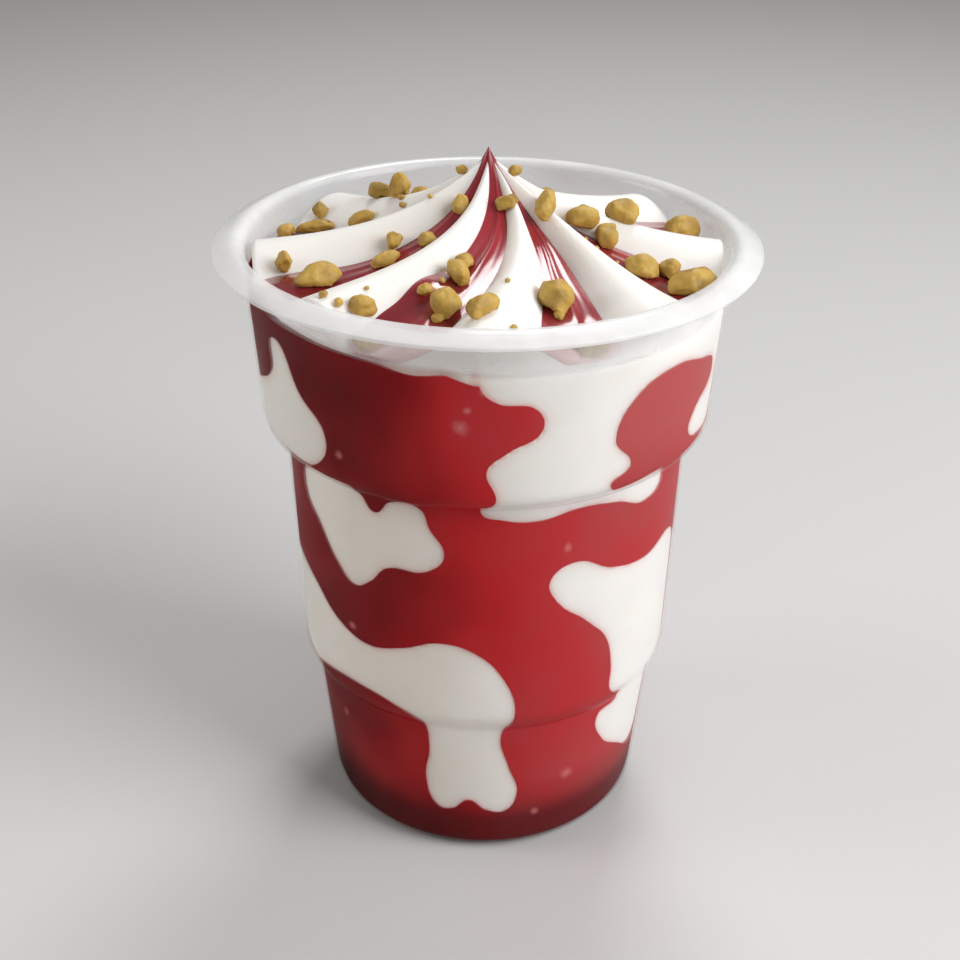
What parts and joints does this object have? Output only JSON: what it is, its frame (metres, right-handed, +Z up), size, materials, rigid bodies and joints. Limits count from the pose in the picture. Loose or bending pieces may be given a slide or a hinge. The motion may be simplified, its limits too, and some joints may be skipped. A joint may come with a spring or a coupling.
{
  "type": "strawberry sundae",
  "caption": "Strawberry sundae: a piped swirl of soft ice cream ribboned with strawberry sauce and strewn with chopped nuts, in a clear stepped plastic cup with a flared lip.",
  "frame": {"origin": "centre of the cup's foot, on the surface that it stands on", "axes": "+Z up the cup's axis to the peak of the swirl, -Y towards the side that the picture shows, +X to the right of that view"},
  "size_m": [0.0946, 0.0946, 0.1283],
  "materials": {
    "clear_plastic": "clear, slightly hazy moulded plastic",
    "ice_cream": "smooth soft ice cream, satin",
    "strawberry_sauce": "wet glossy fruit sauce",
    "roasted_nut": "rough golden broken nut"
  },
  "bodies": {
    "root": {"cup": "clear_plastic", "ice_cream": "ice_cream", "sauce_side": "strawberry_sauce", "sauce_top": "strawberry_sauce", "nut_01": "roasted_nut", "nut_02": "roasted_nut", "nut_03": "roasted_nut", "nut_04": "roasted_nut", "nut_05": "roasted_nut", "nut_06": "roasted_nut", "nut_07": "roasted_nut", "nut_08": "roasted_nut", "nut_09": "roasted_nut", "nut_10": "roasted_nut", "nut_11": "roasted_nut", "nut_12": "roasted_nut", "nut_13": "roasted_nut", "nut_14": "roasted_nut", "nut_15": "roasted_nut", "nut_16": "roasted_nut", "nut_17": "roasted_nut", "nut_18": "roasted_nut", "nut_19": "roasted_nut", "nut_20": "roasted_nut", "nut_21": "roasted_nut", "nut_22": "roasted_nut", "nut_23": "roasted_nut", "nut_24": "roasted_nut", "nut_25": "roasted_nut", "nut_26": "roasted_nut", "nut_27": "roasted_nut", "nut_28": "roasted_nut", "nut_29": "roasted_nut", "nut_30": "roasted_nut", "nut_31": "roasted_nut", "nut_32": "roasted_nut", "nut_33": "roasted_nut", "nut_34": "roasted_nut"}
  },
  "joints": []
}
